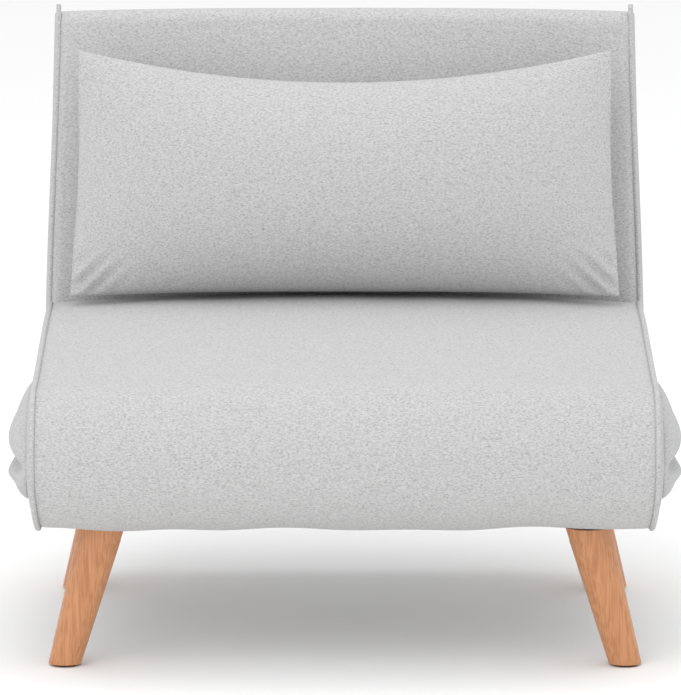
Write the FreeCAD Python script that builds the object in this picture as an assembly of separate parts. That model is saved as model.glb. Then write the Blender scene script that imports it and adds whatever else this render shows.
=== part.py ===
# Convertible chair bed: a folded mattress on a steel frame with four splayed beech legs.
# Millimetres, +Z up, the front faces -Y. Lengths along Y are measured from the front face of the nose,
# and the whole model is moved at the end so that the origin lies under the middle of its box.
import FreeCAD, Part
import math
import os
from FreeCAD import Vector

# Mattress block
BLOCK_W = 760.0
SEAT_D = 620.0
CREASE_Z = 262.0
NOSE_R = 86.0
NOSE_BORE = 46.0
CROWN = 12.0
EDGE_DROP = 7.0
FOAM_T = 58.0
BORDER_T = 20.0
FOOT_D = 590.0
SOFT_GAP = 0.3

# Side gathers of the cover
GATHER_OUT = 22.0
GATHER_Y0 = 30.0
GATHER_Y1 = 430.0
GATHER_UP = 66.0
GATHER_DOWN = 72.0

# Square frame tube
TUBE = 25.0
TUBE_WALL = 1.5
TUBE_ROUND = 3.0
FRAME_GAP = 1.5
FRAME_SIDE_GAP = 20.0
FOOT_SWING_GAP = 24.0
FRAME_SET_BACK = 10.0

# Sprung slats
SLAT_T = 8.0
SLAT_W = 50.0
SLAT_COUNT = 6
SLAT_MARGIN = 30.0

# Base rails and legs
RAIL_INSET = 76.0
RAIL_W = 30.0
RAIL_H = 14.0
RAIL_LAP = 6.0
PLATE_T = 4.0
PLATE_SIDE = 48.0
LEG_R_TOP = 28.0
LEG_R_FOOT = 19.0
LEG_SPLAY = 42.0
LEG_FRONT_Y = 100.0
LEG_REAR_Y = 560.0
GLIDE_T = 3.0
GLIDE_R = 14.0
BOLT_R = 5.0
BOLT_LENGTH = 40.0

# Backrest, in its own frame: U runs up the back from the pivot, N points forward
PIVOT_Z = 286.0
PIVOT_GAP = 4.0
BACK_TILT = 12.0
BACK_LEN = 453.0
BACK_FACE = 62.0
BACK_REAR_T = 8.0
BACK_CORNER = 22.0
BACK_TOP_STEP = 6.0

# Ratchet hinge
HINGE_T = 5.0
HINGE_GAP = 1.0
PIN_R = 6.0
PIN_CLEAR = 0.05
SECTOR_R = 40.0
TOOTH_COUNT = 9
TOOTH_STEP = 13.0
TOOTH_H = 5.0
ARM_W = 30.0
ARM_LEN = 82.0
SWING_CLEAR = 2.0

# Front hinge and fold-out leg
LUG_T = 5.0
LUG_INSET = 25.0
LUG_R = 9.0
FRONT_PIN_R = 4.0
FOLD_LEG_R = 8.0
FOLD_LEG_SIDE_GAP = 7.0
FOLD_LEG_SET = 40.0
FOLD_LEG_BEND = 40.0
FOLD_PIN_R = 3.0
FOLD_LEG_Z = 253.0

# Pillow
PILLOW_INSET = 30.0
PILLOW_H = 312.0
PILLOW_T = 132.0
PILLOW_REST = 1.0
PILLOW_DIP = 42.0
PILLOW_DROOP = 7.0

HALF_W = BLOCK_W / 2
SEAT_FRAME_W = BLOCK_W - 2 * (BORDER_T + FRAME_SIDE_GAP)
RAIL_X = HALF_W - RAIL_INSET
FOOT_FRAME_W = 2 * (RAIL_X - RAIL_W / 2 - FOOT_SWING_GAP)
FOLD_LEG_X = FOOT_FRAME_W / 2 - TUBE - FOLD_LEG_R - FOLD_LEG_SIDE_GAP
LUG_X = FOLD_LEG_X - LUG_INSET
PILLOW_W = BLOCK_W - 2 * PILLOW_INSET
SEAT_Z = CREASE_Z + FRAME_GAP
FOOT_Z = CREASE_Z - FRAME_GAP - TUBE
FRAME_Y0 = NOSE_R + FRAME_SET_BACK
SEAT_FRAME_Y1 = SEAT_D - FRAME_SET_BACK
FOOT_FRAME_Y1 = FOOT_D - FRAME_SET_BACK
RAIL_TOP = CREASE_Z - NOSE_R - 1.5
PIVOT_Y = SEAT_D + PIVOT_GAP + BACK_FACE
RAIL_Y1 = PIVOT_Y + 20.0
TILT = math.radians(BACK_TILT)
LEG_TOP_Z = RAIL_TOP - RAIL_H - PLATE_T
nodes = {}


def box(x0, x1, y0, y1, z0, z1):
    return Part.makeBox(x1 - x0, y1 - y0, z1 - z0, Vector(x0, y0, z0))


def bar_tube(x0, x1, y0, y1, z0, z1):
    """A flat rectangular steel tube between two corners, open along its longest side."""
    outer = box(x0, x1, y0, y1, z0, z1)
    w = TUBE_WALL
    if x1 - x0 > y1 - y0:
        return outer.cut(box(x0, x1, y0 + w, y1 - w, z0 + w, z1 - w))
    return outer.cut(box(x0 + w, x1 - w, y0, y1, z0 + w, z1 - w))


def rounded_face(width, height, radius):
    """A flat rectangle with round corners in the YZ plane, its low corner at the origin."""
    w, h, r = width, height, radius
    k = r * (1 - math.sqrt(0.5))
    points = [(r, 0), (w - r, 0), (w, r), (w, h - r), (w - r, h), (r, h), (0, h - r), (0, r)]
    middles = [(w - k, k), (w - k, h - k), (k, h - k), (k, k)]
    edges = []
    for n in range(4):
        a = Vector(0, *points[2 * n])
        b = Vector(0, *points[2 * n + 1])
        c = Vector(0, *points[(2 * n + 2) % 8])
        edges.append(Part.LineSegment(a, b).toShape())
        edges.append(Part.Arc(b, Vector(0, *middles[n]), c).toShape())
    return Part.Face(Part.Wire(edges))


def tube_along_x(x0, x1, y0, z0, side=TUBE):
    """A square steel tube with round corners and a hollow middle."""
    outer = rounded_face(side, side, TUBE_ROUND)
    hole = rounded_face(side - 2 * TUBE_WALL, side - 2 * TUBE_WALL, TUBE_ROUND - TUBE_WALL)
    hole.translate(Vector(0, TUBE_WALL, TUBE_WALL))
    tube = outer.cut(hole).extrude(Vector(x1 - x0, 0, 0))
    tube.translate(Vector(x0, y0, z0))
    return tube


def tube_along_y(x0, y0, y1, z0, side=TUBE):
    tube = tube_along_x(0, y1 - y0, 0, 0, side)
    tube.rotate(Vector(0, 0, 0), Vector(0, 0, 1), 90)
    tube.translate(Vector(x0 + side, y0, z0))
    return tube


def back_place(shape):
    """Moves a shape from the back's own frame, with the pivot at its origin, to its place."""
    shape.rotate(Vector(0, 0, 0), Vector(1, 0, 0), -BACK_TILT)
    shape.translate(Vector(0, PIVOT_Y, PIVOT_Z))
    return shape


def slats(half_length, y0, y1, z0):
    """Bowed beech slats, spread evenly between the two cross tubes."""
    found = []
    pitch = (y1 - y0 - 2 * SLAT_MARGIN - SLAT_W) / (SLAT_COUNT - 1)
    for n in range(SLAT_COUNT):
        low = y0 + SLAT_MARGIN + n * pitch
        found.append(box(-half_length, half_length, low, low + SLAT_W, z0, z0 + SLAT_T))
    return Part.makeCompound(found)


def pad_section(x, y0, y1, foam_z, crown, drop, up):
    """A pad's outline at one X: flat below, crowned above. up is 1 for the seat and -1 for the foot."""
    low = CREASE_Z + up * (foam_z - CREASE_Z)
    rise = crown if up > 0 else min(crown, 0.0)
    front = CREASE_Z + up * (NOSE_R + rise)
    rear = CREASE_Z + up * (NOSE_R + rise - drop)
    mid = CREASE_Z + up * (NOSE_R + rise * 1.15 - drop * 0.3)
    a, b = Vector(x, y0, low), Vector(x, y0, front)
    c, d = Vector(x, y1, rear), Vector(x, y1, low)
    edges = [
        Part.LineSegment(a, b).toShape(),
        Part.Arc(b, Vector(x, (y0 + y1) / 2, mid), c).toShape(),
        Part.LineSegment(c, d).toShape(),
        Part.LineSegment(d, a).toShape(),
    ]
    return Part.Wire(edges)


def crown_at(x):
    """The crown's height over the width: full in the middle and drawn in to nothing at the edge."""
    return CROWN * (1 - (abs(x) / HALF_W) ** 2.6) - 4.0 * (abs(x) / HALF_W) ** 6


STATIONS = [HALF_W * f for f in (-1, -0.9, -0.65, 0, 0.65, 0.9, 1)]


def pad(y1, up):
    """A foam pad with borders that reach down beside the frame."""
    foam = NOSE_R - FOAM_T
    sections = [pad_section(x, NOSE_R, y1, CREASE_Z + foam, crown_at(x), EDGE_DROP, up) for x in STATIONS]
    body = Part.makeLoft(sections, True, False)
    z0 = CREASE_Z + SOFT_GAP if up > 0 else CREASE_Z - foam
    z1 = CREASE_Z + foam if up > 0 else CREASE_Z - SOFT_GAP
    for side in (-1, 1):
        x0 = min(side * HALF_W, side * (HALF_W - BORDER_T))
        body = body.fuse(box(x0, x0 + BORDER_T, NOSE_R, y1, z0, z1))
    return body.removeSplitter()


def nose_section(x):
    """Half a ring round the crease, open to the rear."""
    r = NOSE_R + crown_at(x)
    r_low = NOSE_R + min(crown_at(x), 0.0)
    s = math.sqrt(0.5)
    def at(radius, y, z):
        return Vector(x, NOSE_R - radius * y, CREASE_Z + radius * z)
    edges = [
        Part.Arc(at(r, 0, 1), at(r, s, s), at(r, 1, 0)).toShape(),
        Part.Arc(at(r, 1, 0), at((r + r_low) / 2, s, -s), at(r_low, 0, -1)).toShape(),
        Part.LineSegment(at(r_low, 0, -1), at(NOSE_BORE, 0, -1)).toShape(),
        Part.Arc(at(NOSE_BORE, 0, -1), at(NOSE_BORE, s, -s), at(NOSE_BORE, 1, 0)).toShape(),
        Part.Arc(at(NOSE_BORE, 1, 0), at(NOSE_BORE, s, s), at(NOSE_BORE, 0, 1)).toShape(),
        Part.LineSegment(at(NOSE_BORE, 0, 1), at(r, 0, 1)).toShape(),
    ]
    return Part.Wire(edges)


def gather(side):
    """The bunched side of the cover: a lens that stands out beside the fold."""
    sections = []
    mid_y = (GATHER_Y0 + GATHER_Y1) / 2
    for out, share in ((0, 1.0), (0.45, 0.93), (0.8, 0.75), (1.0, 0.45)):
        x = side * (HALF_W + SOFT_GAP + out * GATHER_OUT)
        half = (GATHER_Y1 - GATHER_Y0) / 2 * share
        a = Vector(x, mid_y - half, CREASE_Z)
        b = Vector(x, mid_y + half, CREASE_Z)
        top = Vector(x, mid_y, CREASE_Z + GATHER_UP * share)
        low = Vector(x, mid_y, CREASE_Z - GATHER_DOWN * share)
        sections.append(Part.Wire([Part.Arc(a, top, b).toShape(), Part.Arc(b, low, a).toShape()]))
    return Part.makeLoft(sections, True, False)


def leg(side, y, lapped):
    """A turned, tapered beech leg that leans outward. A lapped one rises in front of its rail's end."""
    top = Vector(side * RAIL_X, y, LEG_TOP_Z)
    foot = Vector(side * (RAIL_X + LEG_SPLAY), y, GLIDE_T)
    run = top - foot
    reach = 14.0
    axis = run.normalize()
    start = foot - axis * reach
    rise = RAIL_TOP - LEG_TOP_Z
    length = (LEG_TOP_Z - GLIDE_T) / axis.z + 2 * reach + rise
    cone = Part.makeCone(LEG_R_FOOT, LEG_R_TOP, length, start, axis)
    keep = box(-BLOCK_W, BLOCK_W, y - 2 * LEG_R_TOP, y + 2 * LEG_R_TOP, GLIDE_T, LEG_TOP_Z)
    if lapped:
        keep = keep.fuse(box(-BLOCK_W, BLOCK_W, y - 2 * LEG_R_TOP, y - RAIL_LAP, GLIDE_T, RAIL_TOP))
    return cone.common(keep).removeSplitter()


def make_base():
    for side, word in ((-1, "left"), (1, "right")):
        x0 = side * RAIL_X - RAIL_W / 2
        rail_y0 = LEG_FRONT_Y - RAIL_LAP
        nodes["base_rail_" + word] = bar_tube(x0, x0 + RAIL_W, rail_y0, RAIL_Y1, RAIL_TOP - RAIL_H, RAIL_TOP)
        for y, place in ((LEG_FRONT_Y, "front"), (LEG_REAR_Y, "rear")):
            bore = Part.makeCylinder(BOLT_R, BOLT_LENGTH, Vector(side * RAIL_X, y, LEG_TOP_Z - BOLT_LENGTH))
            nodes["leg_%s_%s" % (place, word)] = leg(side, y, place == "front").cut(bore)
    inner = RAIL_X - RAIL_W / 2
    nodes["base_cross_rail"] = bar_tube(-inner, inner, RAIL_Y1 - RAIL_W, RAIL_Y1, RAIL_TOP - RAIL_H, RAIL_TOP)
    plates, bolts, glides = [], [], []
    for side in (-1, 1):
        for y in (LEG_FRONT_Y, LEG_REAR_Y):
            x = side * RAIL_X
            half = PLATE_SIDE / 2
            front = y - RAIL_LAP if y == LEG_FRONT_Y else y - half
            plate = box(x - half, x + half, front, y + half, LEG_TOP_Z, LEG_TOP_Z + PLATE_T)
            hole = Part.makeCylinder(BOLT_R, PLATE_T, Vector(x, y, LEG_TOP_Z))
            plates.append(plate.cut(hole))
            bolts.append(Part.makeCylinder(BOLT_R, BOLT_LENGTH + PLATE_T, Vector(x, y, LEG_TOP_Z - BOLT_LENGTH)))
            foot_x = side * (RAIL_X + LEG_SPLAY)
            glides.append(Part.makeCylinder(GLIDE_R, GLIDE_T, Vector(foot_x, y, 0)))
    nodes["leg_plates"] = Part.makeCompound(plates)
    nodes["leg_bolts"] = Part.makeCompound(bolts)
    nodes["leg_glides"] = Part.makeCompound(glides)


def make_seat():
    half = SEAT_FRAME_W / 2
    nodes["seat_tube_left"] = tube_along_y(-half, FRAME_Y0, SEAT_FRAME_Y1, SEAT_Z)
    nodes["seat_tube_right"] = tube_along_y(half - TUBE, FRAME_Y0, SEAT_FRAME_Y1, SEAT_Z)
    nodes["seat_tube_front"] = tube_along_x(TUBE - half, half - TUBE, FRAME_Y0, SEAT_Z)
    nodes["seat_tube_rear"] = tube_along_x(TUBE - half, half - TUBE, SEAT_FRAME_Y1 - TUBE, SEAT_Z)
    top = SEAT_Z + TUBE
    nodes["seat_slats"] = slats(half - TUBE, FRAME_Y0 + TUBE, SEAT_FRAME_Y1 - TUBE, top - SLAT_T)
    nodes["seat_pad"] = pad(SEAT_D, 1)
    nodes["nose_pad"] = Part.makeLoft([nose_section(x) for x in STATIONS], True, False)
    nodes["side_gather_left"] = gather(-1)
    nodes["side_gather_right"] = gather(1)


def make_foot():
    half = FOOT_FRAME_W / 2
    nodes["foot_tube_left"] = tube_along_y(-half, FRAME_Y0, FOOT_FRAME_Y1, FOOT_Z)
    nodes["foot_tube_right"] = tube_along_y(half - TUBE, FRAME_Y0, FOOT_FRAME_Y1, FOOT_Z)
    nodes["foot_tube_front"] = tube_along_x(TUBE - half, half - TUBE, FRAME_Y0, FOOT_Z)
    nodes["foot_tube_end"] = tube_along_x(TUBE - half, half - TUBE, FOOT_FRAME_Y1 - TUBE, FOOT_Z)
    nodes["foot_slats"] = slats(half - TUBE, FRAME_Y0 + TUBE, FOOT_FRAME_Y1 - TUBE, FOOT_Z)
    nodes["foot_pad"] = pad(FOOT_D, -1)


def lug(x0, z_side):
    """An ear round the front hinge's axis with a tongue that reaches its frame's front tube."""
    centre = Vector(x0, NOSE_R, CREASE_Z)
    ear = Part.makeCylinder(LUG_R, LUG_T, centre, Vector(1, 0, 0))
    z0 = CREASE_Z + FRAME_GAP if z_side > 0 else CREASE_Z - LUG_R
    z1 = CREASE_Z + LUG_R if z_side > 0 else CREASE_Z - FRAME_GAP
    ear = ear.fuse(box(x0, x0 + LUG_T, NOSE_R, FRAME_Y0, z0, z1))
    bore = Part.makeCylinder(FRONT_PIN_R + PIN_CLEAR, LUG_T, centre, Vector(1, 0, 0))
    return ear.cut(bore).removeSplitter()


def make_front_hinge():
    seat_lugs, foot_lugs, pins = [], [], []
    for side in (-1, 1):
        x = side * LUG_X
        seat_lugs.append(lug(x - LUG_T - SOFT_GAP, 1))
        foot_lugs.append(lug(x, -1))
        start = Vector(x - LUG_T - 2 * SOFT_GAP - 2, NOSE_R, CREASE_Z)
        length = 2 * LUG_T + 3 * SOFT_GAP + 2
        pin = Part.makeCylinder(FRONT_PIN_R, length, start, Vector(1, 0, 0))
        head = Part.makeCylinder(FRONT_PIN_R + 2.5, 2.0, start - Vector(SOFT_GAP, 0, 0), Vector(1, 0, 0))
        pins.append(pin.fuse(head).removeSplitter())
    nodes["seat_hinge_lugs"] = Part.makeCompound(seat_lugs)
    nodes["foot_hinge_lugs"] = Part.makeCompound(foot_lugs)
    nodes["front_hinge_pins"] = Part.makeCompound(pins)


def fold_leg_drop():
    """From the fold-out leg's pivot to the middle of its bar, so that the bar meets the floor."""
    return 2 * CREASE_Z - FOLD_LEG_Z - FOLD_LEG_R


def make_fold_leg():
    pivot_y = FOOT_FRAME_Y1 - TUBE - FOLD_LEG_SET
    bar_y = pivot_y - fold_leg_drop()
    x, z, r = FOLD_LEG_X, FOLD_LEG_Z, FOLD_LEG_BEND
    k = r * (1 - math.sqrt(0.5))
    edges = [
        Part.LineSegment(Vector(-x, pivot_y, z), Vector(-x, bar_y + r, z)).toShape(),
        Part.Arc(Vector(-x, bar_y + r, z), Vector(k - x, bar_y + k, z), Vector(r - x, bar_y, z)).toShape(),
        Part.LineSegment(Vector(r - x, bar_y, z), Vector(x - r, bar_y, z)).toShape(),
        Part.Arc(Vector(x - r, bar_y, z), Vector(x - k, bar_y + k, z), Vector(x, bar_y + r, z)).toShape(),
        Part.LineSegment(Vector(x, bar_y + r, z), Vector(x, pivot_y, z)).toShape(),
    ]
    disc = Part.Wire([Part.makeCircle(FOLD_LEG_R, Vector(-x, pivot_y, z), Vector(0, 1, 0))])
    leg_tube = Part.Wire(edges).makePipeShell([disc], True, False)
    inner = FOOT_FRAME_W / 2 - TUBE
    pins = []
    for side in (-1, 1):
        near = side * (x - FOLD_LEG_R - 2)
        far = side * inner
        low = min(near, far)
        pin = Part.makeCylinder(FOLD_PIN_R, abs(far - near), Vector(low, pivot_y + FOLD_LEG_R, z), Vector(1, 0, 0))
        pins.append(pin)
        eye = Part.makeCylinder(FOLD_LEG_R, 10, Vector(side * x - 5, pivot_y + FOLD_LEG_R, z), Vector(1, 0, 0))
        leg_tube = leg_tube.fuse(eye)
    for pin in pins:
        box_of = pin.BoundBox
        bore = Part.makeCylinder(
            FOLD_PIN_R + PIN_CLEAR, 60, Vector((box_of.XMin + box_of.XMax) / 2 - 30, pivot_y + FOLD_LEG_R, z), Vector(1, 0, 0)
        )
        leg_tube = leg_tube.cut(bore)
    nodes["fold_leg"] = leg_tube.removeSplitter()
    nodes["fold_leg_pins"] = Part.makeCompound(pins)
    return pivot_y + FOLD_LEG_R


def back_section(x):
    """The back pad's outline at one X, in the back's own frame: Y is minus N, and Z is U."""
    face = BACK_FACE + crown_at(x) * 0.8
    top = BACK_LEN + crown_at(x) * 0.5
    inner = BACK_FACE - FOAM_T + 12.0
    c = BACK_CORNER
    s = c * (1 - math.sqrt(0.5))
    edges = [
        Part.LineSegment(Vector(x, -inner, 0), Vector(x, c - face, 0)).toShape(),
        Part.Arc(Vector(x, c - face, 0), Vector(x, s - face, s), Vector(x, -face, c)).toShape(),
        Part.Arc(Vector(x, -face, c), Vector(x, -face - 3, top / 2), Vector(x, -face, top - c)).toShape(),
        Part.Arc(Vector(x, -face, top - c), Vector(x, s - face, top - s), Vector(x, c - face, top)).toShape(),
        Part.LineSegment(Vector(x, c - face, top), Vector(x, -inner, top)).toShape(),
        Part.LineSegment(Vector(x, -inner, top), Vector(x, -inner, 0)).toShape(),
    ]
    return Part.Wire(edges)


def make_back():
    half = SEAT_FRAME_W / 2
    r = TUBE / 2
    top = BACK_LEN - BORDER_T
    for side, word in ((-1, "left"), (1, "right")):
        x0 = -half if side < 0 else half - TUBE
        tube = tube_along_y(x0, SECTOR_R + 6, top, -r)
        tube.rotate(Vector(0, 0, 0), Vector(1, 0, 0), 90)
        nodes["back_tube_" + word] = back_place(tube)
    cross = tube_along_x(TUBE - half, half - TUBE, -r, top - TUBE)
    nodes["back_tube_top"] = back_place(cross)
    rungs = slats(half - TUBE, ARM_LEN - SLAT_MARGIN + 8, top - TUBE, -SLAT_T / 2)
    rungs.rotate(Vector(0, 0, 0), Vector(1, 0, 0), 90)
    nodes["back_slats"] = back_place(rungs)
    pad_body = Part.makeLoft([back_section(x) for x in STATIONS], True, False)
    inner = BACK_FACE - FOAM_T + 12.0
    for side in (-1, 1):
        x0 = min(side * HALF_W, side * (HALF_W - BORDER_T))
        pad_body = pad_body.fuse(box(x0, x0 + BORDER_T, -inner, r + 2, 0, BACK_LEN - BORDER_T))
    cap = box(-HALF_W, HALF_W, -inner, r + 2, BACK_LEN - BORDER_T, BACK_LEN - BACK_TOP_STEP)
    pad_body = pad_body.fuse(cap)
    hinge_x = half - TUBE - 2 * HINGE_T - HINGE_GAP - SWING_CLEAR
    wells = []
    for side in (-1, 1):
        start = hinge_x if side > 0 else -hinge_x
        reach = side * (2 * HINGE_T + HINGE_GAP + 2 * SWING_CLEAR + 2)
        wells.append(Part.makeCylinder(SECTOR_R + SWING_CLEAR, abs(reach), Vector(start, 0, 0), Vector(side, 0, 0)))
    for well in wells:
        pad_body = pad_body.cut(well)
    nodes["back_pad"] = back_place(pad_body.removeSplitter())
    rear = rounded_face(2 * HALF_W, BACK_LEN - BACK_TOP_STEP, BACK_CORNER)
    rear = rear.extrude(Vector(BACK_REAR_T, 0, 0))
    rear.rotate(Vector(0, 0, 0), Vector(0, 0, 1), 90)
    rear.translate(Vector(HALF_W, r + 2, 0))
    for well in wells:
        rear = rear.cut(well)
    nodes["back_rear_cover"] = back_place(rear)


def ratchet_plate(x0):
    """The fixed half of the hinge: a plate from the base rail up to the pivot, with teeth on its rim."""
    teeth = Part.makeCylinder(SECTOR_R - TOOTH_H, HINGE_T, Vector(x0, 0, 0), Vector(1, 0, 0))
    for n in range(TOOTH_COUNT):
        base_angle = math.radians(90 + BACK_TILT - 26 - n * TOOTH_STEP)
        points = []
        for turn, radius in ((-6, SECTOR_R - TOOTH_H - 1), (-5, SECTOR_R), (5, SECTOR_R - TOOTH_H - 1)):
            a = base_angle + math.radians(turn)
            points.append(Vector(x0, radius * math.cos(a), radius * math.sin(a)))
        tooth = Part.Face(Part.makePolygon(points + points[:1])).extrude(Vector(HINGE_T, 0, 0))
        teeth = teeth.fuse(tooth)
    low = RAIL_TOP - PIVOT_Z
    stem = box(x0, x0 + HINGE_T, -ARM_W, SECTOR_R * 0.4, low, 0)
    reach = box(x0, x0 + HINGE_T, SEAT_FRAME_Y1 - PIVOT_Y, 0, SEAT_Z - PIVOT_Z, 0)
    plate = teeth.fuse(stem).fuse(reach)
    plate = plate.cut(Part.makeCylinder(PIN_R + PIN_CLEAR, HINGE_T, Vector(x0, 0, 0), Vector(1, 0, 0)))
    plate.translate(Vector(0, PIVOT_Y, PIVOT_Z))
    return plate.removeSplitter()


def back_arm(x0):
    """The moving half: an arm from the pivot up the back's side tube, with its pawl just clear of the teeth."""
    arm = Part.makeCylinder(ARM_W / 2, HINGE_T, Vector(x0, 0, 0), Vector(1, 0, 0))
    arm = arm.fuse(box(x0, x0 + HINGE_T, -TUBE / 2, TUBE / 2, 0, ARM_LEN))
    arm = arm.cut(Part.makeCylinder(PIN_R + PIN_CLEAR, HINGE_T, Vector(x0, 0, 0), Vector(1, 0, 0)))
    return back_place(arm.removeSplitter())


def make_ratchets():
    half = SEAT_FRAME_W / 2
    inner = half - TUBE
    for side, word in ((-1, "left"), (1, "right")):
        arm_x = inner - HINGE_T if side > 0 else -inner
        plate_x = arm_x - side * (HINGE_GAP + HINGE_T)
        nodes["ratchet_plate_" + word] = ratchet_plate(plate_x)
        nodes["back_arm_" + word] = back_arm(arm_x)
        low = min(plate_x, arm_x) - 2
        pin = Part.makeCylinder(PIN_R, 2 * HINGE_T + HINGE_GAP + 4, Vector(low, PIVOT_Y, PIVOT_Z), Vector(1, 0, 0))
        head_x = low - 4 if side > 0 else low + 2 * HINGE_T + HINGE_GAP + 4
        head = Part.makeCylinder(PIN_R + 5, 4, Vector(head_x, PIVOT_Y, PIVOT_Z), Vector(1, 0, 0))
        nodes["back_pivot_" + word] = pin.fuse(head).removeSplitter()


def make_pillow():
    """A stuffed pillow: thin at its seams, full in the middle, its sides drawn in between the corners."""
    sections = []
    shares = (-1, -0.93, -0.7, -0.3, 0.3, 0.7, 0.93, 1)
    for f in shares:
        x = f * PILLOW_W / 2
        full = max(0.06, (1 - abs(f) ** 3.2)) * PILLOW_T
        low = -PILLOW_H / 2 - PILLOW_DROOP * abs(f) ** 3
        high = PILLOW_H / 2 - PILLOW_DIP * (1 - f * f)
        mid = (low + high) / 2
        a, b = Vector(x, 0, low), Vector(x, 0, high)
        near, far = Vector(x, -full / 2, mid), Vector(x, full / 2, mid)
        sections.append(Part.Wire([Part.Arc(a, near, b).toShape(), Part.Arc(b, far, a).toShape()]))
    pillow = Part.makeLoft(sections, True, False)
    gap = BACK_FACE + CROWN + 6 + PILLOW_T / 2
    seat_top = CREASE_Z + NOSE_R + CROWN
    rise = (seat_top + PILLOW_REST - PIVOT_Z - gap * math.sin(TILT)) / math.cos(TILT) + PILLOW_H / 2
    pillow.translate(Vector(0, -gap, rise))
    nodes["pillow"] = back_place(pillow)


make_base()
make_seat()
make_foot()
make_front_hinge()
fold_pivot_y = make_fold_leg()
make_back()
make_ratchets()
make_pillow()

whole = Part.makeCompound(list(nodes.values())).optimalBoundingBox(False, False)
shift = Vector(-(whole.XMin + whole.XMax) / 2, -(whole.YMin + whole.YMax) / 2, -whole.ZMin)
os.makedirs("parts", exist_ok=True)
for name, shape in nodes.items():
    shape.translate(shift)
    shape.exportStep("parts/" + name + ".step")
print("nodes", len(nodes))
print("size", round(whole.XLength, 2), round(whole.YLength, 2), round(whole.ZLength, 2))
print("back_pivot", round(PIVOT_Y + shift.y, 4), round(PIVOT_Z + shift.z, 4))
print("front_hinge", round(NOSE_R + shift.y, 4), round(CREASE_Z + shift.z, 4))
print("fold_pivot", round(fold_pivot_y + shift.y, 4), round(FOLD_LEG_Z + shift.z, 4))
print("shift", round(shift.y, 4), round(shift.z, 4))
for name, shape in nodes.items():
    if not shape.isValid() or shape.Volume <= 0:
        print("bad solid", name, shape.isValid(), shape.Volume)
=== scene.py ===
"""Looks of a convertible chair bed in light grey marl with beech legs, on a pale floor."""
from __future__ import annotations

import logging
import math
from dataclasses import dataclass, field
from enum import Enum

import bpy
import numpy as np
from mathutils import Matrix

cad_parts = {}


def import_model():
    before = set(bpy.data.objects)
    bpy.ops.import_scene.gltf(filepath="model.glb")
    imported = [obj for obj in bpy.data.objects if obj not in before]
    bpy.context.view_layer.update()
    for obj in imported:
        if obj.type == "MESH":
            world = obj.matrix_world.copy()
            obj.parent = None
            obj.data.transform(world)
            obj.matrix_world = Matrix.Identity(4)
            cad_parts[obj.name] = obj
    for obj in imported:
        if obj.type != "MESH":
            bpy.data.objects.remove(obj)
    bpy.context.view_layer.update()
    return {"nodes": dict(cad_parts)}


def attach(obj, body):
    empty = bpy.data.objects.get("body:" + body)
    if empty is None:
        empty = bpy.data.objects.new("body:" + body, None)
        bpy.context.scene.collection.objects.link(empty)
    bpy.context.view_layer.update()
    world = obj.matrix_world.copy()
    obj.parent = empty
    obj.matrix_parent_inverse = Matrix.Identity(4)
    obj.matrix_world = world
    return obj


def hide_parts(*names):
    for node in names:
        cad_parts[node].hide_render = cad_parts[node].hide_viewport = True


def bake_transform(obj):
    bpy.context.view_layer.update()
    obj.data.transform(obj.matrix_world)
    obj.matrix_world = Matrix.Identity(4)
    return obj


LOG = logging.getLogger("chair_bed")

HINGE_Y = -0.3084724
CREASE_Z = 0.262
NOSE_R = 0.086
HALF_W = 0.388
SEAT_REAR_Y = 0.2255
FOOT_REAR_Y = 0.1955
PIVOT_Y = 0.2915276
PIVOT_Z = 0.286
TILT = math.radians(12.0)


class Side(Enum):
    """Which side of the chair a piece is on, with its sign along X."""

    LEFT = -1
    RIGHT = 1

    @property
    def word(self) -> str:
        """The side's name as the CAD nodes spell it."""
        return self.name.lower()


def srgb(text: str) -> tuple[float, float, float, float]:
    """Turns a hex sRGB colour into linear values.

    Args:
        text: Six hex digits, such as "d8d0c8".

    Returns:
        Linear red, green, blue and an alpha of 1.
    """
    channels = [int(text[i : i + 2], 16) / 255 for i in (0, 2, 4)]
    r, g, b = (c / 12.92 if c <= 0.04045 else ((c + 0.055) / 1.055) ** 2.4 for c in channels)
    return (r, g, b, 1.0)


def add_node(tree: bpy.types.NodeTree, kind: str, links: dict, **values) -> bpy.types.Node:
    """Adds a shader node with its settings and links.

    Args:
        tree: The material's or world's node tree.
        kind: The node's type name.
        links: Input name or number to the output that feeds it.
        **values: Input names, with underscores for spaces, and their values.

    Returns:
        The new node.
    """
    node = tree.nodes.new(kind)
    for name, value in values.items():
        node.inputs[name.replace("_", " ")].default_value = value
    for name, source in links.items():
        tree.links.new(source, node.inputs[name])
    return node


def three_tones(ramp: bpy.types.Node, tones: list[tuple[float, str]]) -> None:
    """Sets a colour ramp's stops.

    Args:
        ramp: The ramp's node.
        tones: Position and hex colour of each stop, the first and the last stop first.
    """
    elements = ramp.color_ramp.elements
    for number, (position, colour) in enumerate(tones):
        stop = elements[number] if number < 2 else elements.new(position)
        stop.position = position
        stop.color = srgb(colour)


def smooth(t: np.ndarray) -> np.ndarray:
    """A smooth step from 0 to 1 of t clipped to 0..1."""
    t = np.clip(t, 0.0, 1.0)
    return t * t * (3 - 2 * t)


def ripple(
    a: np.ndarray, b: np.ndarray, seed: int, count: int = 14, low: float = 4.0, high: float = 22.0
) -> np.ndarray:
    """A soft irregular surface from summed waves, about -1 to 1.

    Args:
        a: First coordinate, in metres.
        b: Second coordinate, in metres.
        seed: Which pattern.
        count: How many waves.
        low: Lowest wave number, in radians per metre.
        high: Highest wave number.

    Returns:
        The height at each point.
    """
    rng = np.random.default_rng(seed)
    total = np.zeros(np.broadcast(a, b).shape)
    for k in np.geomspace(low, high, count):
        angle = rng.uniform(0, 2 * math.pi)
        phase = rng.uniform(0, 6.28)
        total = total + np.sin(k * (a * math.cos(angle) + b * math.sin(angle)) + phase) * (low / k) ** 0.5
    return total / math.sqrt(count)


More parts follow.
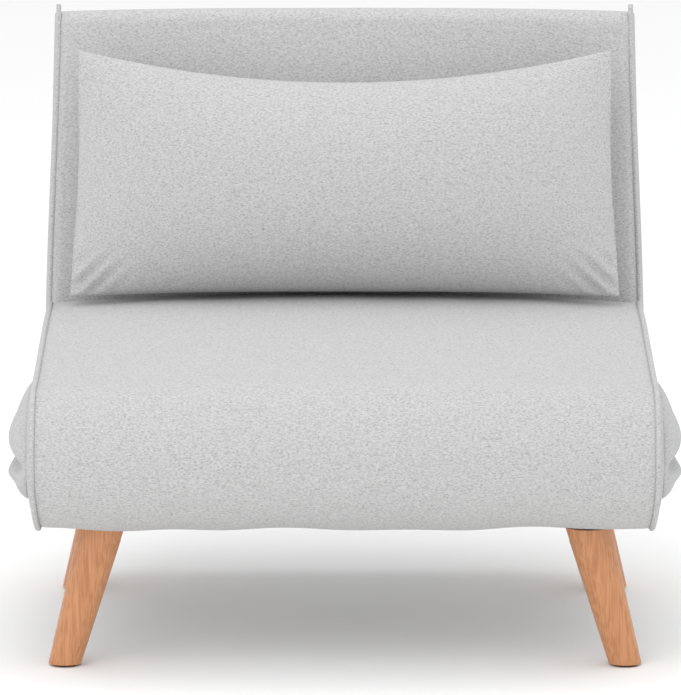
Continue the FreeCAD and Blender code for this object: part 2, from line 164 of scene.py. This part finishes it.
@dataclass(frozen=True)
class Finish:
    """A surface finish shared by several pieces."""

    name: str
    colour: str
    roughness: float
    metallic: float = 0.0

    def material(self) -> bpy.types.Material:
        """Builds the material, or returns the one already built."""
        found = bpy.data.materials.get(self.name)
        if found:
            return found
        mat = bpy.data.materials.new(self.name)
        mat.use_nodes = True
        shader = mat.node_tree.nodes["Principled BSDF"]
        shader.inputs["Base Color"].default_value = srgb(self.colour)
        shader.inputs["Roughness"].default_value = self.roughness
        shader.inputs["Metallic"].default_value = self.metallic
        self.detail(mat.node_tree, shader)
        return mat

    def detail(self, tree: bpy.types.NodeTree, shader: bpy.types.Node) -> None:
        """Adds nothing: plain finishes have no pattern."""


@dataclass(frozen=True)
class Marl(Finish):
    """Woven polyester marl, flecked with darker and lighter yarn: quite matt, with a faint nap."""

    dark: str = "969696"
    light: str = "cccccc"
    # A fleck is about 3 mm long across the width and half that the other way, coarse enough to show.
    fleck_scale: float = 300.0
    weave: tuple[float, float, float] = (1.0, 2.2, 2.2)
    relief: float = 0.0012

    def detail(self, tree: bpy.types.NodeTree, shader: bpy.types.Node) -> None:
        """Flecks drawn out along the weave, with a fine bump."""
        coords = add_node(tree, "ShaderNodeTexCoord", {})
        stretch = add_node(tree, "ShaderNodeMapping", {"Vector": coords.outputs["Object"]}, Scale=self.weave)
        fleck = add_node(
            tree, "ShaderNodeTexNoise", {"Vector": stretch.outputs["Vector"]},
            Scale=self.fleck_scale, Detail=3.0, Roughness=0.75,
        )
        ramp = add_node(tree, "ShaderNodeValToRGB", {"Fac": fleck.outputs["Fac"]})
        three_tones(ramp, [(0.30, self.dark), (0.66, self.light), (0.48, self.colour)])
        tree.links.new(ramp.outputs["Color"], shader.inputs["Base Color"])
        bump = add_node(tree, "ShaderNodeBump", {"Height": fleck.outputs["Fac"]}, Strength=0.25, Distance=self.relief)
        tree.links.new(bump.outputs["Normal"], shader.inputs["Normal"])
        shader.inputs["Sheen Weight"].default_value = 0.08
        shader.inputs["Specular IOR Level"].default_value = 0.15


@dataclass(frozen=True)
class Beech(Finish):
    """Turned beech under a satin lacquer: warm, with fine grain along its length and soft highlights."""

    grain: str = "b67a50"
    stretch: tuple[float, float, float] = (1.0, 1.0, 0.035)
    # Grain lines about 2.5 mm apart, a little coarser than real beech so that they show.
    grain_scale: float = 380.0
    relief: float = 0.0006

    def detail(self, tree: bpy.types.NodeTree, shader: bpy.types.Node) -> None:
        """Long thin grain lines with a shallow bump."""
        coords = add_node(tree, "ShaderNodeTexCoord", {})
        mapping = add_node(tree, "ShaderNodeMapping", {"Vector": coords.outputs["Object"]}, Scale=self.stretch)
        grain = add_node(
            tree, "ShaderNodeTexNoise", {"Vector": mapping.outputs["Vector"]}, Scale=self.grain_scale, Detail=6.0
        )
        ramp = add_node(tree, "ShaderNodeValToRGB", {"Fac": grain.outputs["Fac"]})
        three_tones(ramp, [(0.34, self.grain), (0.60, self.colour)])
        tree.links.new(ramp.outputs["Color"], shader.inputs["Base Color"])
        bump = add_node(tree, "ShaderNodeBump", {"Height": grain.outputs["Fac"]}, Strength=0.12, Distance=self.relief)
        tree.links.new(bump.outputs["Normal"], shader.inputs["Normal"])


# Matt cloth, satin lacquered beech, satin black powder coat, bright zinc plate, moulded nylon, matt studio floor.
FABRIC = Marl("marl_fabric", "bcbcbc", 0.95)
LEG_WOOD = Beech("beech_leg", "cf9265", 0.42)
SLAT_WOOD = Beech("beech_slat", "dfb489", 0.5, stretch=(0.06, 1.0, 1.0))
PAINTED = Finish("painted_steel", "2b2b2d", 0.5)
ZINC = Finish("zinc_steel", "b9babc", 0.35, 0.9)
GLIDE = Finish("glide_plastic", "1d1d1d", 0.6)
FLOOR = Finish("floor_white", "fdfdfd", 0.9)


def enclosed(verts: np.ndarray, faces: list[list[int]]) -> float:
    """The volume a closed mesh encloses, below zero where its faces point inwards.

    Args:
        verts: The points.
        faces: Its faces, of three or four corners.

    Returns:
        A sixth of the sum of the triple products of each face's triangles, in cubic metres.
    """
    corners = np.array([face if len(face) == 4 else face + face[-1:] for face in faces])
    p, q, r, s = (verts[corners[:, n]] for n in range(4))
    return float(np.einsum("ij,ij->", p, np.cross(q, r)) + np.einsum("ij,ij->", p, np.cross(r, s))) / 6


def grid_mesh(name: str, points: np.ndarray, wrap: bool, caps: bool, finish: Finish) -> bpy.types.Object:
    """Makes a smooth mesh from a grid of points.

    Args:
        name: The object's name.
        points: An array of rows, columns and XYZ.
        wrap: Whether the last column joins the first.
        caps: Whether the first and last rows are closed with a fan about their middles.
        finish: The surface finish.

    Returns:
        The new object, with its origin at the row frame's origin.
    """
    rows, cols, _ = points.shape
    verts = points.reshape(-1, 3)
    span = cols if wrap else cols - 1
    r, c = np.meshgrid(np.arange(rows - 1), np.arange(span), indexing="ij")
    n = (c + 1) % cols
    quads = np.stack([r * cols + c, r * cols + n, (r + 1) * cols + n, (r + 1) * cols + c], axis=-1)
    faces = quads.reshape(-1, 4).tolist()
    if caps:
        ends = np.stack([points[0].mean(axis=0), points[-1].mean(axis=0)])
        first = len(verts)
        verts = np.vstack([verts, ends])
        c = np.arange(cols)
        n = (c + 1) % cols
        faces += np.stack([n, c, np.full(cols, first)], axis=-1).tolist()
        base = (rows - 1) * cols
        faces += np.stack([base + c, base + n, np.full(cols, first + 1)], axis=-1).tolist()
        if enclosed(verts, faces) < 0:
            faces = [face[::-1] for face in faces]
    mesh = bpy.data.meshes.new(name)
    mesh.from_pydata(verts.tolist(), [], faces)
    mesh.polygons.foreach_set("use_smooth", np.ones(len(mesh.polygons), dtype=bool))
    mesh.update()
    mesh.materials.append(finish.material())
    obj = bpy.data.objects.new(name, mesh)
    bpy.context.scene.collection.objects.link(obj)
    return obj


def piping(name: str, path: np.ndarray, radius: float, finish: Finish) -> bpy.types.Object:
    """A thin welt along a path, closed at both ends.

    Args:
        name: The object's name.
        path: The points of its middle line.
        radius: The welt's radius in metres.
        finish: The surface finish.

    Returns:
        The new object.
    """
    along = np.gradient(path, axis=0)
    along /= np.linalg.norm(along, axis=1)[:, None]
    side = np.tile(np.array([1.0, 0.0, 0.0]), (len(path), 1))
    side -= along * (side * along).sum(axis=1)[:, None]
    side /= np.linalg.norm(side, axis=1)[:, None]
    up = np.cross(along, side)
    turn = np.linspace(0, 2 * math.pi, 10, endpoint=False)
    across, above = np.cos(turn)[None, :, None], np.sin(turn)[None, :, None]
    ring = side[:, None, :] * across + up[:, None, :] * above
    return grid_mesh(name, path[:, None, :] + radius * ring, True, True, finish)


def edge_round(distance: np.ndarray, radius: float) -> np.ndarray:
    """How far a surface drops near a round edge: a quarter circle of that radius.

    Args:
        distance: Distance inward from the edge.
        radius: The edge's radius.

    Returns:
        The drop, from the radius at the edge to nothing past it.
    """
    inside = np.clip(radius - distance, 0.0, radius)
    return radius - np.sqrt(np.maximum(radius**2 - inside**2, 0.0))


@dataclass
class Mattress:
    """The folded mattress cover: seat above, round nose in front, foot section below.

    A profile is carried over the width: it goes along the crease from the seat's rear to the hinge and back to the
    foot section's end, and the cover stands off that line by its outer radius and, within, by its inner one.
    """

    corner: float = 0.016
    crown: float = 0.012
    nose_crown: float = 0.35
    rear_rise: float = 0.019
    rear_corner: float = 0.018
    inner: float = 0.028
    border_inner: float = 0.0012
    wave: float = 0.0016
    fine_wave: float = 0.0007
    low_wave: float = 0.0022
    low_draw: float = 0.014
    welt: float = 0.0036
    welt_inset: float = 0.0065
    band: float = 0.0011
    seed: int = 4

    def path(self) -> tuple[np.ndarray, np.ndarray, np.ndarray, np.ndarray]:
        """The crease line in YZ with the direction outward from it.

        Returns:
            Y and Z of the line, the outward angle above the rear horizontal, and the distance from the nearer end.
        """
        seat_y = np.concatenate([SEAT_REAR_Y - np.linspace(0, 0.024, 9), np.linspace(SEAT_REAR_Y - 0.034, HINGE_Y, 50)])
        foot_y = np.concatenate([np.linspace(HINGE_Y, FOOT_REAR_Y - 0.034, 50), FOOT_REAR_Y - np.linspace(0.024, 0, 9)])
        turn = np.linspace(math.pi / 2, 3 * math.pi / 2, 50)[1:-1]
        y = np.concatenate([seat_y, np.full(len(turn), HINGE_Y), foot_y])
        angle = np.concatenate([np.full(len(seat_y), math.pi / 2), turn, np.full(len(foot_y), 3 * math.pi / 2)])
        end = np.concatenate([SEAT_REAR_Y - seat_y, np.full(len(turn), 1.0), FOOT_REAR_Y - foot_y])
        return y, np.full(len(y), CREASE_Z), angle, end

    def outer_radius(self, x: np.ndarray, y: np.ndarray, angle: np.ndarray, end: np.ndarray) -> np.ndarray:
        """The cover's distance from the crease line.

        Args:
            x: Position over the width.
            y: Position of the crease line.
            angle: Outward angle.
            end: Distance from the nearer rear end.

        Returns:
            The radius in metres.
        """
        up = np.clip(np.sin(angle), 0, 1)
        fullness = 1 - np.abs(x / HALF_W) ** 2.6
        bulge = self.crown * fullness * (self.nose_crown * (1 - np.abs(np.sin(angle))) + up)
        rise = self.rear_rise * smooth((y - HINGE_Y) / 0.45) * up
        depth = y + NOSE_R * np.cos(angle)
        waves = self.wave * ripple(x, depth + (angle - 1.57) * NOSE_R, self.seed)
        fine = self.fine_wave * ripple(x, depth + angle * NOSE_R, self.seed + 9, low=20.0, high=60.0)
        below = np.clip(-np.sin(angle), 0, 1) ** 2
        low_edge = below * self.low_wave * np.sin(x * 31 + 0.7) * np.sin(x * 11 + 2.1)
        calm = 0.35 + 0.65 * np.clip((HALF_W - np.abs(x)) / 0.08, 0, 1)
        r = NOSE_R + bulge + rise + (waves + fine) * calm + low_edge
        return r - edge_round(HALF_W - np.abs(x), self.corner) - edge_round(end, self.rear_corner)

    def width_share(self, angle: np.ndarray) -> np.ndarray:
        """The width at an outward angle, drawn in below, as a share of the full width."""
        return 1.0 - self.low_draw * smooth((angle - 3.2) / 1.4)

    def build(self) -> None:
        """Makes the cover and its two welts."""
        y, z, angle, end = self.path()
        x = np.concatenate([
            -HALF_W + np.linspace(0, self.corner, 9), np.linspace(-0.36, 0.36, 130), HALF_W - np.linspace(self.corner, 0, 9)
        ])
        grid_x, grid_y = x[:, None], y[None, :]
        outer = self.outer_radius(grid_x, grid_y, angle[None, :], end[None, :])
        edge = smooth((np.abs(x) - 0.350) / 0.010)[:, None]
        inner = np.broadcast_to(self.inner * (1 - edge) + self.border_inner * edge, outer.shape)
        width = self.width_share(angle)[None, :]

        def place(radius: np.ndarray) -> np.ndarray:
            """The points at that radius from the crease line."""
            return np.stack(
                [
                    np.broadcast_to(grid_x * width, radius.shape),
                    grid_y + radius * np.cos(angle)[None, :],
                    z[None, :] + radius * np.sin(angle)[None, :],
                ],
                axis=-1,
            )

        loop = np.concatenate([place(outer), place(inner)[:, ::-1]], axis=1)
        cover = grid_mesh("mattress_cover", loop, True, True, FABRIC)
        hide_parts("seat_pad", "nose_pad", "foot_pad")
        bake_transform(cover)
        for side in Side:
            radius = self.outer_radius(np.full(len(y), HALF_W - 0.010), y, angle, end) + 0.0006
            keep = slice(3, -3)
            across = side.value * (HALF_W - self.welt_inset) * self.width_share(angle)
            line = np.stack([across, y + radius * np.cos(angle), z + radius * np.sin(angle)], axis=-1)[keep]
            welt = piping(f"mattress_welt_{side.word}", line, self.welt, FABRIC)
            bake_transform(welt)
        LOG.info("mattress cover and welts made")


@dataclass
class Gather:
    """The bunched cover at one side, with two lobes that meet in a notch at the crease.

    Its outward swell is a product of sines over its length and height, less a notch that falls off as a bell curve.
    """

    side: Side
    out: float = 0.029
    y0: float = -0.3635
    y1: float = 0.034
    z0: float = 0.192
    z1: float = 0.326
    notch: float = 0.62
    pleat: float = 0.13

    def build(self) -> None:
        """Makes the lobes as one closed piece on the base."""
        v, u = np.meshgrid(np.linspace(0, 1, 70), np.linspace(0, 1, 110), indexing="ij")
        y = self.y0 + (self.y1 - self.y0) * u
        z = self.z0 + (self.z1 - self.z0) * v
        tall = np.sin(np.pi * np.clip(u, 0, 1)) ** 0.45
        z = CREASE_Z + (z - CREASE_Z) * tall
        share = np.sin(np.pi * v) ** 0.6 * np.sin(np.pi * u ** 0.62) ** 0.7
        notch = 1 - self.notch * np.exp(-(((z - CREASE_Z + 0.004) / 0.013) ** 2))
        pleat = 1 + self.pleat * np.sin(30 * np.arctan2(z - CREASE_Z, 0.06 + u * 0.4)) * share
        x = self.side.value * (HALF_W + 0.0006 + self.out * share * notch * pleat)
        front = np.stack([x, y, z], axis=-1)
        rear = np.stack([np.full_like(x, self.side.value * (HALF_W + 0.0003)), y, z], axis=-1)
        solid = np.concatenate([front, rear[:, ::-1]], axis=1)
        lobe = grid_mesh(f"gathered_side_{self.side.word}", solid, True, True, FABRIC)
        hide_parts(f"side_gather_{self.side.word}")
        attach(lobe, "base")
        LOG.info("gathered side made: %s", self.side.word)


def back_to_row(x: np.ndarray, forward: np.ndarray, up: np.ndarray) -> np.ndarray:
    """Moves points from the back's own frame, at its pivot, to the row frame.

    Args:
        x: Position over the width.
        forward: Distance toward the front, square to the back.
        up: Distance up the back.

    Returns:
        The points, with XYZ last.
    """
    y = PIVOT_Y - forward * math.cos(TILT) + up * math.sin(TILT)
    z = PIVOT_Z + forward * math.sin(TILT) + up * math.cos(TILT)
    return np.stack(np.broadcast_arrays(x, y, z), axis=-1)


@dataclass
class Backrest:
    """The padded back cover with a welt down both front edges.

    Its face is a grid over the width and the height, crowned as a power curve and rounded at all four edges.
    """

    length: float = 0.446
    face: float = 0.062
    rear: float = -0.0145
    corner: float = 0.020
    tip: float = 0.014
    flare: float = 0.030
    crown: float = 0.010
    top_crown: float = 0.004
    wave: float = 0.0016
    fine_wave: float = 0.0006
    welt: float = 0.0032
    seed: int = 21

    def taper(self, up: np.ndarray) -> np.ndarray:
        """The cover's width at a height up the back, as a share of the seat's."""
        return 0.976 + self.flare * (1 - smooth(up / self.length))

    def build(self) -> None:
        """Makes the cover and the two welts."""
        x = np.concatenate([
            -HALF_W + np.linspace(0, self.corner, 9), np.linspace(-0.355, 0.355, 110), HALF_W - np.linspace(self.corner, 0, 9)
        ])
        up = np.concatenate([np.linspace(0, self.corner, 9), np.linspace(0.03, self.length - 0.03, 80),
                             self.length - np.linspace(self.corner, 0, 9)])
        gx, gu = x[:, None], up[None, :]
        top = self.top_crown * (1 - np.abs(gx / HALF_W) ** 3)
        gu_top = gu * (1 + top / self.length)
        bulge = self.crown * (1 - np.abs(gx / HALF_W) ** 2.6)
        waves = self.wave * ripple(gx, gu, self.seed)
        waves = waves + self.fine_wave * ripple(gx, gu, self.seed + 5, low=20.0, high=60.0)
        front = self.face + bulge + waves - edge_round(HALF_W - np.abs(gx), self.corner)
        front = front - edge_round(np.minimum(gu, self.length - gu), self.corner)
        taper = self.taper(gu)
        face = back_to_row(gx * taper, front, gu_top)
        edge = smooth((np.abs(gx) - 0.350) / 0.010)
        over = smooth((gu - (self.length - 0.030)) / 0.010)
        border = np.maximum(edge, over)
        depth = 0.0165 * (1 - border) + (self.rear + 0.0005) * border
        inside = back_to_row(gx * taper, np.minimum(depth, front - 0.002), gu_top)
        solid = np.concatenate([face, inside[:, ::-1]], axis=1)
        cover = grid_mesh("back_cover", solid, True, True, FABRIC)
        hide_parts("back_pad")
        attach(cover, "back")
        for side in Side:
            u = np.linspace(0.012, self.length + self.tip * 0.6, 90)
            n = self.face - 0.0045 - edge_round(np.maximum(self.length - u, 0.004), 0.012) * 0.8
            line = back_to_row(side.value * (HALF_W - 0.0060) * self.taper(u), n, u)
            welt = piping(f"back_welt_{side.word}", line, self.welt, FABRIC)
            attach(welt, "back")
        LOG.info("back cover and welts made")


@dataclass
class Pillow:
    """The loose stuffed pillow with ears at its top corners.

    Two grids over its width and height meet at the seam; each swells as a product of power curves that are nothing
    at the seam, with bell-shaped patches of wrinkles at the lower corners.
    """

    half: float = 0.350
    height: float = 0.312
    thick: float = 0.132
    dip: float = 0.042
    droop: float = 0.007
    wave: float = 0.0026
    wrinkle: float = 0.0045
    gather: float = 0.0016
    seam: float = 0.0022
    lift: float = 0.040
    seed: int = 33

    def build(self) -> None:
        """Makes the pillow, leaning on the back with its lower edge on the seat."""
        gap = 0.062 + 0.010 + self.thick / 2
        seat_top = CREASE_Z + NOSE_R + self.lift
        rise = (seat_top + 0.001 - PIVOT_Z - gap * math.sin(TILT)) / math.cos(TILT) + self.height / 2
        a, b = np.meshgrid(np.linspace(-1, 1, 150), np.linspace(-1, 1, 90), indexing="ij")
        low = -self.height / 2 - self.droop * np.abs(a) ** 3
        high = self.height / 2 - self.dip * (1 - a**2)
        up = low + (high - low) * (b + 1) / 2
        draw = 1 - 0.030 * (1 - b**2) - 0.030 * np.clip(b, 0, 1)
        x = a * self.half * 1.012 * draw
        full = (1 - np.abs(a) ** 3.0) ** 0.75 * (1 - np.abs(b) ** 2.4) ** 0.62
        sag = 1 - 0.10 * b
        body = self.thick / 2 * full * sag
        corner = np.exp(-(((np.abs(a) - 0.93) / 0.10) ** 2 + ((b + 0.86) / 0.20) ** 2))
        wrinkle = corner * self.wrinkle * np.sin(np.abs(a) * 75 + b * 34)
        by_seam = np.exp(-((1 - np.abs(b)) / 0.16) ** 2) * (1 - np.abs(b) ** 8)
        gathers = self.gather * np.sin(a * 96 + 2.0 * np.sin(a * 17)) * by_seam
        waves = self.wave * ripple(x, up, self.seed) * full
        near = body + (wrinkle + gathers + waves) * (full > 0.02) + self.seam
        far = -(body * 0.96 + self.seam)
        front = back_to_row(x, gap + near, rise + up)
        rear = back_to_row(x, gap + far, rise + up)
        solid = np.concatenate([front, rear[:, ::-1]], axis=1)
        pillow = grid_mesh("pillow_cover", solid, True, True, FABRIC)
        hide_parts("pillow")
        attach(pillow, "pillow")
        LOG.info("pillow made")


@dataclass
class Studio:
    """Floor, two soft lamps, a white world and the camera at the photograph's angle."""

    distance: float = 8.6
    elevation: float = math.radians(10.0)
    aim: tuple[float, float, float] = (-0.0055, -0.4, 0.4165)
    lens: float = 368.0
    floor_reach: float = 40.0
    world_strength: float = 0.93

    def lamp(self, name: str, place: tuple[float, float, float], power: float, size: float) -> None:
        """Adds a square soft lamp that faces the chair.

        Args:
            name: The lamp's name.
            place: Where it stands.
            power: Its power in watts.
            size: Its side in metres.
        """
        data = bpy.data.lights.new(name, "AREA")
        data.energy = power
        data.size = size
        obj = bpy.data.objects.new(name, data)
        bpy.context.scene.collection.objects.link(obj)
        obj.location = place
        toward = np.array([0.0, -0.1, 0.35]) - np.array(place)
        flat = math.hypot(toward[0], toward[1])
        obj.rotation_euler = (math.atan2(flat, -toward[2]), 0.0, math.atan2(-toward[0], toward[1]))

    def floor(self) -> None:
        """A wide flat pale floor."""
        reach = np.linspace(-self.floor_reach, self.floor_reach, 9)
        x, y = np.meshgrid(reach, reach, indexing="ij")
        ground = grid_mesh("studio_floor", np.stack([x, y, np.zeros_like(x)], axis=-1), False, False, FLOOR)

    def build(self) -> None:
        """Sets the render, the world, the lamps and the camera."""
        scene = bpy.context.scene
        scene.view_settings.view_transform = "Standard"
        scene.render.resolution_x, scene.render.resolution_y = 681, 695
        world = scene.world or bpy.data.worlds.new("studio")
        scene.world = world
        world.use_nodes = True
        tree = world.node_tree
        light = tree.nodes["Background"]
        light.inputs["Color"].default_value = (1.0, 1.0, 1.0, 1.0)
        light.inputs["Strength"].default_value = self.world_strength
        seen = add_node(tree, "ShaderNodeBackground", {}, Color=(1.0, 1.0, 1.0, 1.0))
        path = add_node(tree, "ShaderNodeLightPath", {})
        feeds = {0: path.outputs["Is Camera Ray"], 1: light.outputs["Background"], 2: seen.outputs["Background"]}
        mix = add_node(tree, "ShaderNodeMixShader", feeds)
        tree.links.new(mix.outputs["Shader"], tree.nodes["World Output"].inputs["Surface"])
        self.floor()
        self.lamp("key_lamp", (-1.4, -3.2, 3.6), 48.0, 3.0)
        self.lamp("top_lamp", (0.3, 0.2, 4.2), 46.0, 4.0)
        camera = bpy.data.objects.new("camera", bpy.data.cameras.new("camera"))
        scene.collection.objects.link(camera)
        camera.data.lens = self.lens
        camera.data.sensor_width = 36.0
        camera.data.clip_end = 60.0
        back_off, rise = self.distance * math.cos(self.elevation), self.distance * math.sin(self.elevation)
        camera.location = (self.aim[0], self.aim[1] - back_off, self.aim[2] + rise)
        camera.rotation_euler = (math.pi / 2 - self.elevation, 0.0, 0.0)
        scene.camera = camera
        LOG.info("studio set")


@dataclass
class ChairBed:
    """The whole chair bed: soft pieces over the CAD frame, and finishes on the CAD nodes that show."""

    pieces: list[Mattress | Gather | Backrest | Pillow] = field(
        default_factory=lambda: [Mattress(), Gather(Side.LEFT), Gather(Side.RIGHT), Backrest(), Pillow()]
    )

    def finish_for(self, node: str) -> Finish:
        """The finish of a CAD node.

        Args:
            node: The node's name.

        Returns:
            Its finish.
        """
        if node.startswith(("leg_front", "leg_rear")):
            return LEG_WOOD
        if node.endswith("slats"):
            return SLAT_WOOD
        if node == "leg_glides":
            return GLIDE
        if node == "back_rear_cover":
            return FABRIC
        zinc = ("ratchet", "back_arm", "back_pivot", "front_hinge", "leg_plates", "leg_bolts", "fold_leg_pins")
        return ZINC if node.startswith(zinc) or node.endswith("lugs") else PAINTED

    def build(self, nodes: dict[str, bpy.types.Object]) -> None:
        """Paints the CAD nodes and builds the soft pieces.

        Args:
            nodes: The CAD nodes by name.
        """
        for name, obj in nodes.items():
            if obj.type == "MESH":
                obj.data.materials.clear()
                obj.data.materials.append(self.finish_for(name).material())
        for piece in self.pieces:
            piece.build()


def main() -> None:
    """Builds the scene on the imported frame."""
    logging.basicConfig(level=logging.INFO)
    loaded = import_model()
    ChairBed().build(loaded["nodes"])
    Studio().build()


if __name__ == "__main__":
    main()
